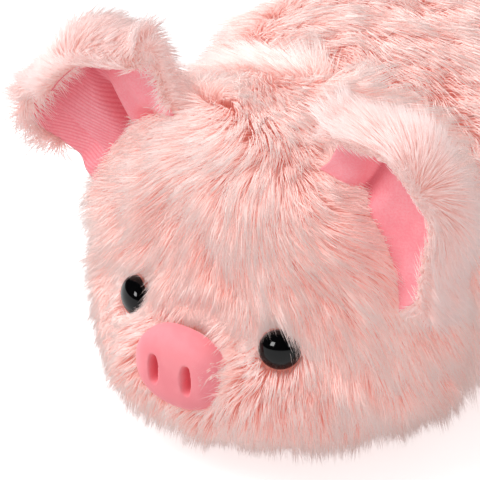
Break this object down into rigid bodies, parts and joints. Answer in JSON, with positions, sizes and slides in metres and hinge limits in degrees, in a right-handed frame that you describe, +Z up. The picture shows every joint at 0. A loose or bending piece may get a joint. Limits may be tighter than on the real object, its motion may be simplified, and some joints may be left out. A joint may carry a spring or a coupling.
{
  "type": "plush pig",
  "caption": "Plush pig lying on its belly, chin down, with long two-tone pile, domed safety eyes, a moulded snout and soft ears folded forward.",
  "frame": {"origin": "middle of the flat belly face that the pig rests on", "axes": "+Z up, the pig faces -Y, +X is the pig's own left side"},
  "size_m": [0.217, 0.3219, 0.1477],
  "materials": {
    "pile": "long soft two-tone pile, pale pink tips over salmon roots",
    "lining": "short smooth pink knit",
    "snout": "matte pink moulding",
    "eye": "polished black",
    "washer": "plain off-white moulding",
    "filling": "loose white polyester fibre"
  },
  "bodies": {
    "trunk": {"left_head_panel": "pile", "right_head_panel": "pile", "head_stuffing": "filling", "left_eye": "eye", "right_eye": "eye", "left_eye_washer": "washer", "right_eye_washer": "washer", "snout": "snout", "snout_washer": "washer", "left_back_panel": "pile", "right_back_panel": "pile", "belly_panel": "pile", "body_stuffing": "filling"},
    "left_ear": {"left_ear_back": "pile", "left_ear_lining": "lining"},
    "left_front_leg": {"left_front_leg_cover": "pile", "left_front_leg_stuffing": "filling"},
    "left_rear_leg": {"left_rear_leg_cover": "pile", "left_rear_leg_stuffing": "filling"},
    "right_ear": {"right_ear_back": "pile", "right_ear_lining": "lining"},
    "right_front_leg": {"right_front_leg_cover": "pile", "right_front_leg_stuffing": "filling"},
    "right_rear_leg": {"right_rear_leg_cover": "pile", "right_rear_leg_stuffing": "filling"},
    "tail": {"tail": "lining"}
  },
  "joints": [
    {"name": "left_ear_fold", "type": "hinge", "parent": "trunk", "child": "left_ear", "pos_m": [0.05462, -0.136, 0.10607], "axis": [0.6831, 0, -0.7303], "range_deg": [-25, 20], "stiffness_Nm_per_rad": 0.05},
    {"name": "right_ear_fold", "type": "hinge", "parent": "trunk", "child": "right_ear", "pos_m": [-0.05462, -0.136, 0.10607], "axis": [0.6831, 0, 0.7303], "range_deg": [-25, 20], "stiffness_Nm_per_rad": 0.05},
    {"name": "left_front_leg_swing", "type": "hinge", "parent": "trunk", "child": "left_front_leg", "pos_m": [0.07256, -0.04802, 0.0195], "axis": [0, 0, 1], "range_deg": [-12, 12], "stiffness_Nm_per_rad": 0.05},
    {"name": "left_rear_leg_swing", "type": "hinge", "parent": "trunk", "child": "left_rear_leg", "pos_m": [0.06265, 0.05381, 0.0195], "axis": [0, 0, 1], "range_deg": [-12, 12], "stiffness_Nm_per_rad": 0.05},
    {"name": "right_front_leg_swing", "type": "hinge", "parent": "trunk", "child": "right_front_leg", "pos_m": [-0.07256, -0.04802, 0.0195], "axis": [0, 0, 1], "range_deg": [-12, 12], "stiffness_Nm_per_rad": 0.05},
    {"name": "right_rear_leg_swing", "type": "hinge", "parent": "trunk", "child": "right_rear_leg", "pos_m": [-0.06265, 0.05381, 0.0195], "axis": [0, 0, 1], "range_deg": [-12, 12], "stiffness_Nm_per_rad": 0.05},
    {"name": "tail_swing", "type": "hinge", "parent": "trunk", "child": "tail", "pos_m": [0, 0.10696, 0.08002], "axis": [0, 0, 1], "range_deg": [-18, 18], "stiffness_Nm_per_rad": 0.01}
  ]
}
